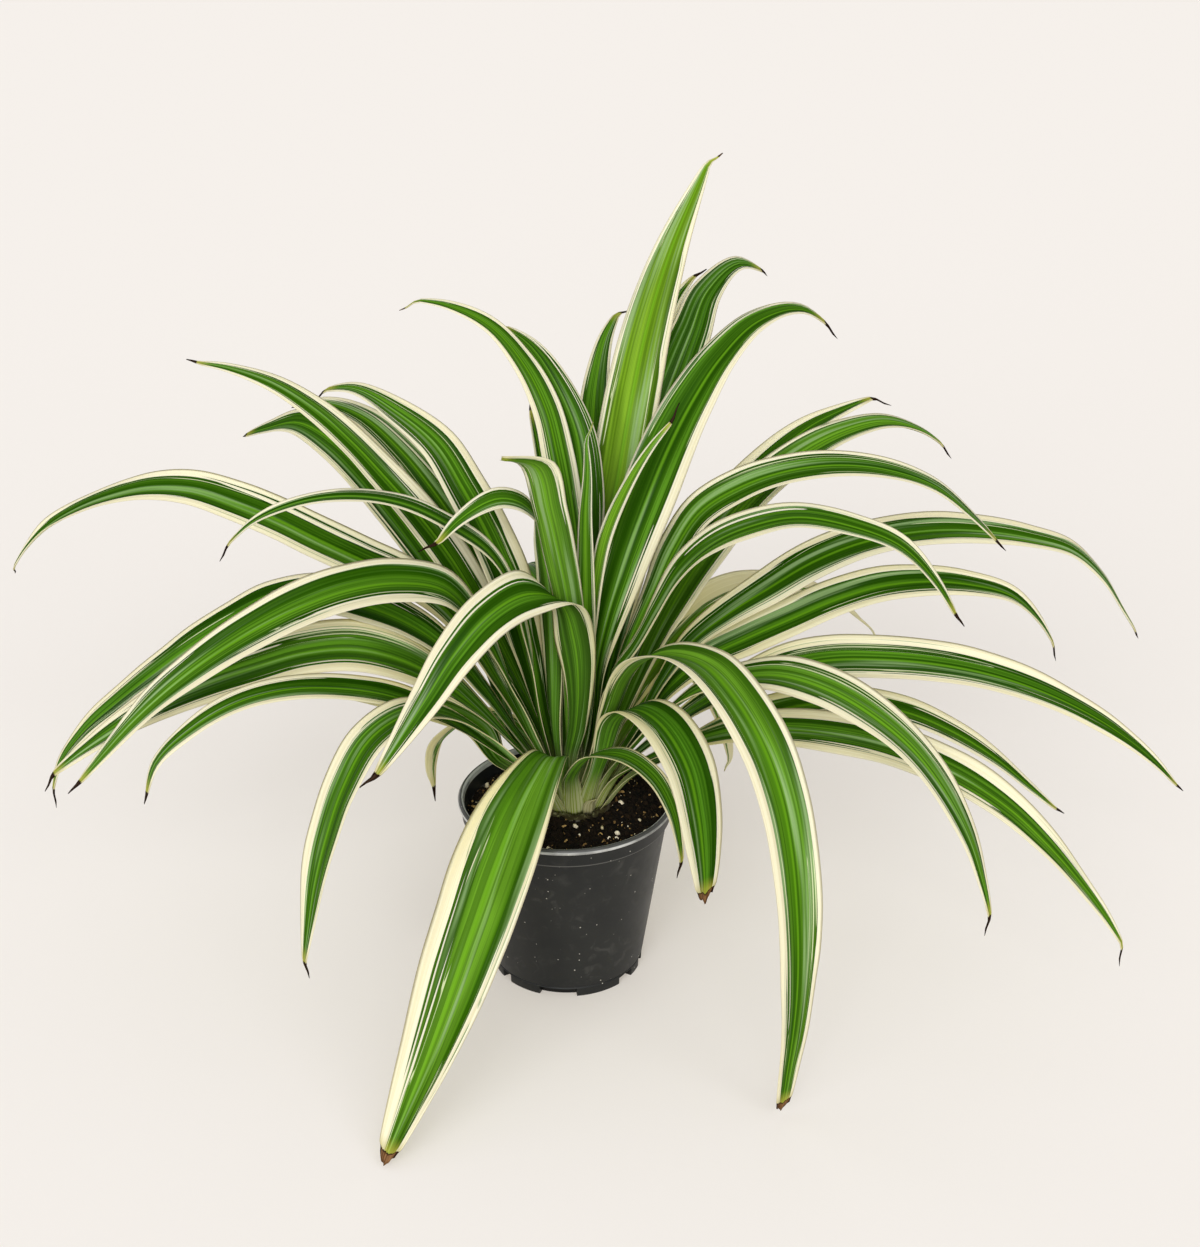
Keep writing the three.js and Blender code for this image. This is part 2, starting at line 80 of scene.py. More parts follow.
# The pot's section in mm as (radius, height, rounding), from the foot up the outside and down the
# inside to the floor.
POT_SECTION_MM = (
    (32.6, 0, 0.3),
    (36.8, 0, 0.6),
    (37, 4.7, 0.4),
    (36.5, 5.2, 0.15),
    (37.3, 5.9, 0.3),
    (48.95, 82.6, 0.2),
    (50.4, 83.1, 0.35),
    (51, 90, 0.3),
    (52.1, 90.3, 0.3),
    (52.5, 91, 0.5),
    (52.0, 92.1, 0.6),
    (51.2, 93, 0.6),
    (49.9, 92.6, 0.6),
    (49.3, 90.6, 0.5),
    (47.75, 82.6, 0.5),
    (36.3, 5.4, 1.2),
    (0, 5.4, 0),
)
POT_UNDERSIDE_MM = ((0, 4, 0), (32.6, 4, 0.4))
# Drain notches in one half of the foot, as (from, to) degrees anticlockwise from +X.
NOTCHES = ((212, 222), (249, 278), (314, 329), (342, 353))
# What is cut at each of them in mm, as (inner radius, outer radius, low, high): the recess in the
# foot, which leaves a thin wall behind it, and the slot in the raised floor.
RECESS_MM = (33.4, 40, -1, 4.4)
SLOT_MM = (27, 31.4, 2, 6.4)

# Rings and sectors of the two disc-shaped surfaces.
MIX_MESH = (56, 150)
CROWN_MESH = (34, 96)

# The studio: half the floor's side, and the soft lights as (name, share of the key, direction).
FLOOR_HALF = 8.0
SOFTBOX_ANGLE = math.radians(35)
SOFTBOXES = (
    ("left_softbox", 1.0, (0.45, 0.8, -0.45)),
    ("front_softbox", 1.1, (0.05, 0.88, -0.5)),
    ("right_softbox", 0.6, (-0.5, 0.75, -0.5)),
)

# How a blade departs from the usual green one: (tone, margin, bias). Tone runs from 0, dark and
# old, to 1, young and yellow-green. Margin is where its cream edge begins, as a share of the half
# width; bias moves it outwards on the blade's left and inwards on its right.
USUAL_BLADE = (0.3, 0.68, 0.0)
BLADE_LOOKS = {
    "up_tall": (0.9, 0.82, 0.0),
    "up_young": (0.85, 0.72, 0.0),
    "up_inner": (0.6, 0.84, 0.0),
    "up_pale": (0.6, 0.9, -0.03),
    "up_edge": (0.45, 0.74, 0.0),
    "up_right": (0.15, 0.8, 0.06),
    "up_behind": (0.1, 0.82, 0.0),
    "up_far": (0.3, 0.5, 0.0),
    "up_middle": (0.2, 0.84, 0.0),
    "up_left": (0.35, 0.66, 0.0),
    "up_left_behind": (0.1, 0.8, 0.0),
    "left_01": (0.15, 0.72, 0.0),
    "left_02": (0.15, 0.68, 0.0),
    "left_03": (0.2, 0.66, 0.08),
    "left_04": (0.5, 0.64, 0.1),
    "left_06": (0.05, 0.8, 0.0),
    "left_07": (0.3, 0.6, 0.0),
    "left_08": (0.35, 0.7, 0.0),
    "left_09": (0.05, 0.7, 0.0),
    "left_10": (0.15, 0.62, 0.0),
    "left_11": (0.05, 0.68, 0.0),
    "left_12": (0.5, 0.6, 0.0),
    "front_01": (0.2, 0.62, 0.0),
    "front_02": (0.25, 0.74, 0.0),
    "front_03": (0.62, 0.7, 0.18),
    "front_04": (0.5, 0.68, -0.08),
    "front_05": (0.0, 0.68, 0.06),
    "front_06": (0.5, 0.68, 0.08),
    "right_01": (0.35, 0.64, 0.0),
    "right_02": (0.3, 0.58, 0.0),
    "right_03": (0.3, 0.6, 0.0),
    "right_04": (0.1, 0.62, 0.0),
    "right_05": (0.2, 0.6, 0.0),
    "right_06": (0.3, 0.66, 0.0),
    "right_07": (0.25, 0.72, 0.0),
    "right_08": (0.3, 0.68, 0.0),
    "right_09": (0.4, 0.72, 0.0),
    "right_10": (0.3, 0.52, 0.0),
    "right_11": (0.85, 0.1, 0.0),
    "back_01": (0.8, 0.1, 0.0),
    "back_05": (0.8, 0.1, 0.0),
}
# Blades with a torn tip, a green one, or one that is dead for a few millimetres only, and how far
# torn, hardly dead and all other tips are dead.
TORN_TIPS = ("front_03", "front_05", "front_06")
LIVING_TIPS = ("up_pale", "up_inner", "right_11", "back_01")
BARELY_DEAD_TIPS = ("up_tall", "up_left")
TORN_DEAD_MM = 7
BARELY_DEAD_MM = 4
USUAL_DEAD_MM = (7.6, 11)
# Points in each cross ring of a blade's CAD solid.
RING_POINTS = 6

# The inputs of the two Geometry Nodes trees, by name.
BLADE_INPUTS = {
    "Step": "NodeSocketFloat",
    "Columns": "NodeSocketInt",
    "Thickness": "NodeSocketFloat",
    "Ripple": "NodeSocketFloat",
    "Rib height": "NodeSocketFloat",
    "Foot spread": "NodeSocketFloat",
    "Ragged tip": "NodeSocketFloat",
    "Tip width": "NodeSocketFloat",
    "Tip curl": "NodeSocketFloat",
    "Dead tip": "NodeSocketFloat",
    "Tone": "NodeSocketFloat",
    "Margin": "NodeSocketFloat",
    "Bias": "NodeSocketFloat",
    "Seed": "NodeSocketFloat",
    "Material": "NodeSocketMaterial",
}
GRAIN_INPUTS = {
    "Density": "NodeSocketFloat",
    "Smallest": "NodeSocketFloat",
    "Largest": "NodeSocketFloat",
    "Length": "NodeSocketFloat",
    "Flatness": "NodeSocketFloat",
    "Fineness": "NodeSocketInt",
    "Seed": "NodeSocketInt",
    "Material": "NodeSocketMaterial",
}

MATH = "ShaderNodeMath"
VECTOR_MATH = "ShaderNodeVectorMath"
RANGE = "ShaderNodeMapRange"
MIX = "ShaderNodeMix"
NOISE = "ShaderNodeTexNoise"
COMBINE = "ShaderNodeCombineXYZ"
PRINCIPLED = "ShaderNodeBsdfPrincipled"


def linear(hex_colour):
    """An sRGB hex colour such as "3A660F" as linear RGBA."""
    parts = [int(hex_colour[i : i + 2], 16) / 255 for i in (0, 2, 4)]
    return (*[c / 12.92 if c <= 0.04045 else ((c + 0.055) / 1.055) ** 2.4 for c in parts], 1.0)


def add(tree, kind, values=(), out=0, **settings):
    """Adds a node with its settings and inputs, and returns one of its outputs.

    values gives the visible inputs in order, or by name in a dict: a value, a socket to link, or
    a list of sockets.
    """
    made = tree.nodes.new(kind)
    for key, value in settings.items():
        setattr(made, key, value)
    inputs = [socket for socket in made.inputs if socket.enabled]
    for key, value in values.items() if isinstance(values, dict) else enumerate(values):
        into = inputs[key] if isinstance(key, int) else next(s for s in inputs if s.name == key)
        if isinstance(value, bpy.types.NodeSocket):
            tree.links.new(value, into)
        elif isinstance(value, list):
            for one in value:
                tree.links.new(one, into)
        else:
            into.default_value = value
    outputs = [socket for socket in made.outputs if socket.enabled]
    if not outputs:
        return made
    return outputs[out] if isinstance(out, int) else next(s for s in outputs if s.name == out)


def new_material(name):
    """An empty material, the function that adds nodes to it, and two common uses of that.

    step takes a value smoothly from one range to another, and mix blends two colours.
    """
    material = bpy.data.materials.new(name)
    material.use_nodes = True
    material.node_tree.nodes.clear()
    put = partial(add, material.node_tree)
    step = partial(put, RANGE, interpolation_type="SMOOTHSTEP")
    return material, put, step, partial(put, MIX, data_type="RGBA")


class SpiderPlantSettings(bpy.types.PropertyGroup):
    """Sizes and colours that a user would change."""

    blade_step: FloatProperty(
        name="Blade step",
        description="Distance between two cross rows of a blade's mesh",
        default=3.2 * MM,
        min=1 * MM,
        unit="LENGTH",
    )
    blade_columns: IntProperty(
        name="Blade columns",
        description="Faces across a blade",
        default=18,
        min=6,
        max=40,
    )
    blade_thickness: FloatProperty(
        name="Blade thickness",
        description="Thickness of a blade at its midrib",
        default=0.85 * MM,
        unit="LENGTH",
    )
    ripple: FloatProperty(
        name="Edge ripple",
        description="How far a blade's edges wave out of its surface",
        default=1.3 * MM,
        unit="LENGTH",
    )
    rib_height: FloatProperty(
        name="Rib height",
        description="Height of the shallow ribs that run along a blade",
        default=0.16 * MM,
        unit="LENGTH",
    )
    foot_spread: FloatProperty(
        name="Foot spread",
        description="How much wider a blade's clasping foot is than the blade above it",
        default=0.75,
        min=0,
        subtype="FACTOR",
    )
    pot_sides: IntProperty(
        name="Pot sides",
        description="Faces round the pot",
        default=160,
        min=32,
    )
    crumb_density: FloatProperty(
        name="Crumb density",
        description="Dark crumbs on a square metre of potting mix",
        default=420000,
        min=0,
    )
    perlite_density: FloatProperty(
        name="Perlite density",
        description="Cream grains on a square metre of potting mix",
        default=9000,
        min=0,
    )
    green_dark: FloatVectorProperty(
        name="Dark green",
        description="Darkest green of an old blade",
        subtype="COLOR",
        size=3,
        min=0,
        max=1,
        default=linear("153800")[:3],
    )
    cream: FloatVectorProperty(
        name="Cream",
        description="Colour of a blade's margins",
        subtype="COLOR",
        size=3,
        min=0,
        max=1,
        default=linear("FFFAE6")[:3],
    )
    sky: FloatProperty(
        name="Studio fill",
        description="Strength of the even light from all round",
        default=0.6,
        min=0,
    )
    key: FloatProperty(
        name="Studio key",
        description="Strength of the soft light from the left, which the other two follow",
        default=1.1,
        min=0,
    )


# Materials.
def leaf_material():
    """Living leaf: a waxy skin over green flesh, striped with flesh that holds no green.

    The wax shines in soft streaks along the blade, where a painted sheen pales the colour too,
    and the thin flesh lets light through. The veins lie half a millimetre apart and are drawn
    twice as coarse to show.
    """
    material, put, step, mix = new_material("waxy_striped_leaf")
    settings = bpy.context.scene.spider_plant
    names = ("across", "along", "to_tip", "tone", "margin", "bias", "seed", "underside", "dead_tip")
    at = {n: put("ShaderNodeAttribute", out="Fac", attribute_name=n) for n in names}
    dark = (*settings.green_dark, 1)
    times = partial(put, MATH, operation="MULTIPLY")
    times_plus = partial(put, MATH, operation="MULTIPLY_ADD")
    size_of = partial(put, MATH, operation="ABSOLUTE")

    # Streaks: how many go to a half width, how many to a metre, and their detail.
    streak = {}
    kinds = {
        "edge": (0.6, 7, 1),
        "broad": (2.6, 3.5, 1),
        "fine": (15, 5, 3),
        "splinter": (8, 8, 0),
        "line": (5, 5, 0),
        "wax_and_sheen": (3.2, 7, 2),
        "cloud": (1.2, 14, 2),
    }
    for number, (name, (per_half, per_metre, detail)) in enumerate(kinds.items()):
        shift = times((at["seed"], 11.3 + 17.9 * number))
        x = times_plus((at["across"], per_half, shift))
        place = put(COMBINE, (x, times((at["along"], per_metre)), 7.7 * number))
        streak[name] = put(NOISE, (place, 1.0, detail, 0.5))

    # The margin's inner edge wanders a little and is splintered along the veins. It runs out
    # towards the foot, and lies further in near the tip.
    from_midrib = size_of((at["across"],))
    side = put(MATH, (at["across"],), operation="SIGN")
    begins = times_plus((side, at["bias"], at["margin"]))
    begins = times_plus((streak["edge"], -0.2, put(MATH, (begins, 0.1), operation="ADD")))
    inward_splinter = step((streak["splinter"], 0.59, 0.67, 0, -0.16))
    outward_splinter = step((streak["splinter"], 0.43, 0.35, 0, 0.1))
    splinters = put(MATH, (inward_splinter, outward_splinter), operation="ADD")
    begins = put(MATH, (begins, splinters), operation="ADD")
    begins = times((begins, step((at["to_tip"], 0, 60 * MM, 0.8, 1))))
    to_edge = put(MATH, (1, begins), operation="SUBTRACT")
    begins = times_plus((to_edge, step((at["along"], 130 * MM, 24 * MM, 0, 0.8)), begins))
    inward = put(MATH, (from_midrib, begins), operation="SUBTRACT")
    in_margin = step((inward, -0.012, 0.012, 0, 1))

    # The green flesh is banded along the blade, and dark beside the margin and in patches. It is
    # paler on the midrib, takes a painted pale grey-green sheen where the wax shines, and all but
    # loses its green at the foot.
    bands = step((streak["broad"], 0.28, 0.72, 0, 1))
    veins = step((streak["fine"], 0.41, 0.59, 0, 1))
    old = mix((bands, dark, linear("568E1E")))
    young = mix((bands, linear("4A820A"), linear("7CAE30")))
    young = mix((step((at["tone"], 0.75, 1, 0, 0.35)), young, linear("9EB428")))
    green = mix((at["tone"], old, young))
    veined = times((veins, step((at["tone"], 0.3, 1, 0.64, 0.35))))
    green = mix((veined, green, linear("1C4400")))
    green = mix((step((inward, -0.4, -0.03, 0, 0.6)), green, dark))
    green = mix((step((streak["cloud"], 0.5, 0.68, 0, 0.3)), green, dark))
    green = mix((step((from_midrib, 0.09, 0.01, 0, 0.6)), green, linear("6CA61C")))
    # Painted sheen: the colour turns pale grey-green along the strong wax streaks.
    green = mix((step((streak["wax_and_sheen"], 0.56, 0.71, 0, 0.6)), green, linear("9CBC7E")))
    foot = mix((veins, linear("B2BE54"), linear("EAECB0")))
    green = mix((step((at["along"], 36 * MM, 5 * MM, 0, 0.9)), green, foot))

    # A pale line runs beside the margin in places, and a green one inside it.
    off_line = size_of((put(MATH, (inward, 0.13), operation="ADD"),))
    here = step((streak["line"], 0.51, 0.59, 0, 0.75))
    green = mix((step((off_line, 0.028, 0.008, 0, here)), green, linear("DDE4B4")))
    cream = mix((veins, linear("F4EDD2"), (*settings.cream, 1)))
    # Painted warm bounce light: the cream turns yellower towards the foot, where it lies in shade.
    cream = mix((step((at["along"], 150 * MM, 50 * MM, 0, 0.85)), cream, linear("F5ECB2")))
    off_line = size_of((put(MATH, (inward, 0.08), operation="SUBTRACT"),))
    there = step((streak["line"], 0.44, 0.38, 0, 0.55))
    cream = mix((step((off_line, 0.022, 0.008, 0, there)), cream, linear("5C8C2C")))
    colour = mix((in_margin, green, cream))
    outline = step((from_midrib, 0.96, 1, 0, step((at["along"], 20 * MM, 60 * MM, 0, 0.28))))
    colour = mix((outline, colour, linear("CDB684")))
    colour = mix((times((at["underside"], 0.08)), colour, linear("86A450")))

    # The dead tip, on a blade that yellows just before it: a torn or hardly dead one is brown with
    # a dark rim, a longer dead one nearly black.
    dry_place = times_plus((streak["fine"], 2.5 * MM, at["to_tip"]))
    past = put(MATH, (at["dead_tip"], dry_place), operation="SUBTRACT")
    colour = mix((step((past, -9 * MM, 0, 0, 0.5)), colour, linear("C4B84C")))
    dried = step((past, -0.2 * MM, 0.2 * MM, 0, 1))
    rim = step((past, 1.2 * MM, 0.5 * MM, 0, 0.9))
    husk = mix((veins, linear("5A3A20"), linear("8A6644")))
    husk = mix((step((at["dead_tip"], 7.2 * MM, 7.5 * MM, 0, 0.9)), husk, linear("1A0F0A")))
    rim = put(MATH, (rim, step((from_midrib, 0.7, 0.9, 0, 0.9))), operation="MAXIMUM")
    husk = mix((rim, husk, linear("20100A")))
    colour = mix((dried, colour, husk))

    bump = put("ShaderNodeBump", {"Height": streak["fine"], "Strength": 0.45, "Distance": 0.3 * MM})
    skin = {
        "Base Color": colour,
        "Roughness": step((dried, 0, 1, step((streak["broad"], 0.3, 0.7, 0.36, 0.52)), 0.8)),
        "IOR": 1.42,
        "Specular IOR Level": step((streak["wax_and_sheen"], 0.48, 0.74, 0.02, 0.42)),
        "Normal": bump,
    }
    lit_through = mix((1.0, colour, linear("F6F6C8")), blend_type="MULTIPLY")
    glow = put("ShaderNodeBsdfTranslucent", {"Color": lit_through, "Normal": bump})
    thinness = step((in_margin, 0, 1, 0.14, 0.4))
    thin = put("ShaderNodeMixShader", (thinness, put(PRINCIPLED, skin), glow))
    put("ShaderNodeOutputMaterial", {"Surface": thin})
    return material


def sheath_material():
    """Dead leaf sheath: dry papery skin, tan and split into fibres, dull all over."""
    material, put, step, mix = new_material("dry_papery_sheath")
    across = put("ShaderNodeAttribute", out="Fac", attribute_name="across")
    along = put("ShaderNodeAttribute", out="Fac", attribute_name="along")
    x = put(MATH, (across, 8), operation="MULTIPLY")
    y = put(MATH, (along, 40), operation="MULTIPLY")
    fibres = put(NOISE, (put(COMBINE, (x, y, 3.3)), 1.0, 4, 0.6))
    colour = mix((step((fibres, 0.3, 0.7, 0, 1)), linear("8E8648"), linear("DAD6A6")))
    bump = put("ShaderNodeBump", {"Height": fibres, "Strength": 0.6, "Distance": 0.4 * MM})
    skin = put(PRINCIPLED, {"Base Color": colour, "Roughness": 0.75, "Normal": bump})
    put("ShaderNodeOutputMaterial", {"Surface": skin})
    return material


def crown_material():
    """Fleshy leaf bases: smooth, moist and nearly free of green, soiled at the potting mix."""
    material, put, step, mix = new_material("pale_fleshy_leaf_base")
    place = put("ShaderNodeTexCoord", out="Object")
    drawn_out = put("ShaderNodeMapping", {"Vector": place, "Scale": (520, 520, 90)})
    fibres = put(NOISE, (drawn_out, 1.0, 3, 0.6))
    height = put("ShaderNodeSeparateXYZ", (place,), out="Z")
    colour = mix((step((fibres, 0.3, 0.7, 0, 1)), linear("8E9A50"), linear("DADDA2")))
    soil_line = put(MATH, (fibres, 3 * MM, height), operation="MULTIPLY_ADD")
    soiled = step((soil_line, CROWN_TOP.z + 3.4 * MM, CROWN_TOP.z + 2 * MM, 0, 0.95))
    colour = mix((soiled, colour, linear("2C1F12")))
    bump = put("ShaderNodeBump", {"Height": fibres, "Strength": 0.4, "Distance": 0.4 * MM})
    flesh = {"Base Color": colour, "Roughness": 0.45, "IOR": 1.42, "Normal": bump}
    skin = put(PRINCIPLED, flesh)
    put("ShaderNodeOutputMaterial", {"Surface": skin})
    return material


def pot_material():
    """Injection-moulded black polypropylene: satin, with dust specks and pale rubbed streaks."""
    material, put, step, mix = new_material("moulded_black_polypropylene")
    place = put("ShaderNodeTexCoord", out="Object")
    cloudy = put(NOISE, (place, 32.0, 5, 0.6))
    chosen = put(NOISE, (place, 75.0, 1, 0.5))
    rubbed = put(NOISE, {"Vector": place, "Scale": 130.0, "Detail": 6, "Distortion": 1.2})
    # Specks of dust and perlite half a millimetre wide.
    grit = put("ShaderNodeTexVoronoi", (place, 300.0), out="Distance")
    height = put("ShaderNodeSeparateXYZ", (place,), out="Z")
    body = mix((step((cloudy, 0.3, 0.7, 0, 1)), linear("111313"), linear("20211F")))
    # Painted shade: the pot darkens from just under the lip upwards.
    body = mix((step((height, 89.2 * MM, 90.2 * MM, 0, 0.8)), body, linear("0B0B0B")))
    # The thin wall behind the notches is painted near black as shade. The lip carries a painted
    # highlight outside and along its inner edge, and the band's lower edge is painted lighter.
    radius = put(VECTOR_MATH, (place, (1, 1, 0)), operation="MULTIPLY")
    radius = put(VECTOR_MATH, (radius,), operation="LENGTH")
    # Painted shade: near black on the thin wall behind the notches.
    recess = step((height, 5.4 * MM, 4.8 * MM, 0, 0.95))
    recess = step((radius, 36.2 * MM, 35.4 * MM, 0, recess))
    body = mix((recess, body, linear("040404")))
    # Painted highlight round the lip's outer bulge, broken up by the cloudy noise.
    lip_highlight = step((height, 90.1 * MM, 90.5 * MM, 0, step((cloudy, 0.35, 0.6, 0.4, 1))))
    lip_highlight = step((height, 92 * MM, 91.6 * MM, 0.1, lip_highlight))
    inner_edge = step((height, 91.6 * MM, 92 * MM, 0, 0.9))
    inner_edge = step((radius, 50.8 * MM, 50.4 * MM, 0, inner_edge))
    lip_highlight = put(MATH, (lip_highlight, inner_edge), operation="MAXIMUM")
    body = mix((lip_highlight, body, linear("C8C8C4")))
    # The band's lower edge is painted a lighter grey.
    moulded_edge = step((height, 81.8 * MM, 82.4 * MM, 0, 0.7))
    moulded_edge = step((height, 83.8 * MM, 83.2 * MM, 0, moulded_edge))
    body = mix((moulded_edge, body, linear("6A6965")))
    scuffs = step((rubbed, 0.5, 0.75, 0, step((cloudy, 0.5, 0.66, 0.03, 0.11))))
    colour = mix((scuffs, body, linear("8A8780")))
    specks = step((grit, 0.12, 0.06, 0, step((chosen, 0.52, 0.56, 0, 0.9))))
    colour = mix((specks, colour, linear("CFCABE")))
    satin = step((cloudy, 0.3, 0.7, 0.4, 0.55))
    bump = put("ShaderNodeBump", {"Height": rubbed, "Strength": 0.12, "Distance": 0.2 * MM})
    skin = put(
        PRINCIPLED,
        {
            "Base Color": colour,
            "Roughness": step((height, 90 * MM, 91 * MM, satin, 0.25)),
            "IOR": 1.49,
            "Specular IOR Level": 0.28,
            "Normal": bump,
        },
    )
    put("ShaderNodeOutputMaterial", {"Surface": skin})
    return material


def mix_material():
    """Damp peat and bark compost: nearly black, brown where it dries, rough all over."""
    material, put, step, mix = new_material("damp_peat_compost")
    place = put("ShaderNodeTexCoord", out="Object")
    clumps = put(NOISE, (place, 240.0, 6, 0.7))
    patches = put(NOISE, (place, 55.0, 2, 0.5))
    colour = mix((step((clumps, 0.35, 0.7, 0, 1)), linear("060504"), linear("1E150D")))
    colour = mix((step((patches, 0.5, 0.72, 0, 0.4)), colour, linear("2C1D0E")))
    bump = put("ShaderNodeBump", {"Height": clumps, "Strength": 0.9, "Distance": 1.2 * MM})
    skin = put(
        PRINCIPLED,
        {
            "Base Color": colour,
            "Roughness": 0.85,
            "Specular IOR Level": 0.15,
            "Normal": bump,
        },
    )
    put("ShaderNodeOutputMaterial", {"Surface": skin})
    return material


def grain_material(name, dark, light, roughness):
    """Loose grain: its colour changes from grain to grain, and its face is pitted."""
    material, put, step, mix = new_material(name)
    shade = put("ShaderNodeAttribute", out="Fac", attribute_name="grain_shade")
    place = put("ShaderNodeTexCoord", out="Object")
    pits = put(NOISE, (place, 1400.0, 3, 0.5))
    colour = mix((shade, linear(dark), linear(light)))
    colour = mix((step((pits, 0.5, 0.7, 0, 0.4)), colour, linear(dark)))
    bump = put("ShaderNodeBump", {"Height": pits, "Strength": 0.5, "Distance": 0.3 * MM})
    skin = put(
        PRINCIPLED,
        {
            "Base Color": colour,
            "Roughness": roughness,
            "Specular IOR Level": 0.2,
            "Normal": bump,
        },
    )
    put("ShaderNodeOutputMaterial", {"Surface": skin})
    return material


def floor_material():
    """Matt opal acrylic sweep, warm white and lit a little from behind."""
    material, put, *_ = new_material("backlit_opal_sweep")
    sheet = put(
        PRINCIPLED,
        {
            "Base Color": linear("CECDCD"),
            "Roughness": 0.95,
            "Specular IOR Level": 0.1,
            "Emission Color": linear("FBEBD6"),
            "Emission Strength": 0.285,
        },
    )
    put("ShaderNodeOutputMaterial", {"Surface": sheet})
    return material


# Pieces.
def new_piece(name, mesh, material, slot, *replaced):
    """Links a finished mesh as a piece that rides on the plant and stands for CAD nodes."""
    piece = bpy.data.objects.new(name, mesh)
    bpy.context.scene.collection.objects.link(piece)
    mesh.materials.clear()
    mesh.materials.append(material)
    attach(piece, "root")
    if replaced:
        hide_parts(*replaced)
    return piece


def evaluated_mesh(holder):
    """The plain mesh of an object with its modifiers; the object goes."""
    evaluated = holder.evaluated_get(bpy.context.evaluated_depsgraph_get())
    result = bpy.data.meshes.new_from_object(evaluated)
    bpy.data.objects.remove(holder)
    return result


def grown(mesh, tree, values):
    """The plain mesh that a Geometry Nodes tree makes from a mesh, with its inputs set."""
    holder = bpy.data.objects.new(mesh.name, mesh)
    bpy.context.scene.collection.objects.link(holder)
    modifier = holder.modifiers.new("grow", "NODES")
    modifier.node_group = tree
    for item in tree.interface.items_tree:
        if item.in_out == "INPUT" and item.name in values:
            modifier[item.identifier] = values[item.name]
    result = evaluated_mesh(holder)
    if not result.polygons:
        raise RuntimeError(f"{mesh.name}: its tree made no faces")
    return result


def merged_copy(node):
    """A CAD node's triangles as a bmesh whose shared points are one."""
    solid = bmesh.new()
    solid.from_mesh(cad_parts[node].data)
    bmesh.ops.remove_doubles(solid, verts=solid.verts, dist=0.01 * MM)
    return solid


def finished(shape, name):
    """A closed bmesh as a plain mesh, merged, smooth and with its faces pointing out."""
    bmesh.ops.remove_doubles(shape, verts=shape.verts, dist=0.002 * MM)
    bmesh.ops.recalc_face_normals(shape, faces=shape.faces)
    for face in shape.faces:
        face.smooth = True
    mesh = bpy.data.meshes.new(name)
    shape.to_mesh(mesh)
    shape.free()
    return mesh


def rings_of(node):
    """A blade's cross rings, foot first, as (left edge, midrib, right edge) of its solid."""
    solid = merged_copy(node)

    def off_foot(vert):
        return abs(vert.co.z - CROWN_TOP.z) + 0.2 * (vert.co - CROWN_TOP).to_2d().length

    ring = sorted(solid.verts, key=off_foot)[:RING_POINTS]
    seen = set(ring)
    rings = []
    while ring:
        if len(ring) != RING_POINTS:
            raise RuntimeError(f"{node}: a ring has {len(ring)} points")
        middle = sum((vert.co for vert in ring), Vector()) / RING_POINTS
        if rings:
            along = (middle - rings[-1][1]).normalized()
            side = (side - along * side.dot(along)).normalized()
        else:
            outward = (middle - CROWN_TOP).to_2d()
            side = Vector((-outward.y, outward.x, 0))
        points = [vert.co.copy() for vert in sorted(ring, key=lambda vert: -vert.co.dot(side))]
        rings.append([(points[i] + points[i + 1]) / 2 for i in (0, 2, 4)])
        side = (rings[-1][0] - rings[-1][2]).normalized()
        near = {edge.other_vert(vert) for vert in ring for edge in vert.link_edges}
        ring = [vert for vert in near if vert not in seen]
        seen.update(ring)
    solid.free()
    return rings


def blade_guide(node):
    """A line along a blade's midrib that carries the two vectors of its cross-section."""
    rings = rings_of(node)
    guide = bpy.data.meshes.new(node + "_guide")
    links = [(i, i + 1) for i in range(len(rings) - 1)]
    guide.from_pydata([ring[1] for ring in rings], links, [])
    vectors = {
        "half_span": [(left - right) / 2 for left, _, right in rings],
        "edge_rise": [(left + right) / 2 - midrib for left, midrib, right in rings],
    }
    for name, values in vectors.items():
        layer = guide.attributes.new(name, "FLOAT_VECTOR", "POINT")
        layer.data.foreach_set("vector", [number for value in values for number in value])
    return guide


def new_tree(name, inputs):
    """An empty Geometry Nodes tree with named inputs, and the function that adds nodes to it."""
    tree = bpy.data.node_groups.new(name, "GeometryNodeTree")
    tree.interface.new_socket("Geometry", in_out="INPUT", socket_type="NodeSocketGeometry")
    for label, kind in inputs.items():
        tree.interface.new_socket(label, in_out="INPUT", socket_type=kind)
    tree.interface.new_socket("Geometry", in_out="OUTPUT", socket_type="NodeSocketGeometry")
    return tree, partial(add, tree)


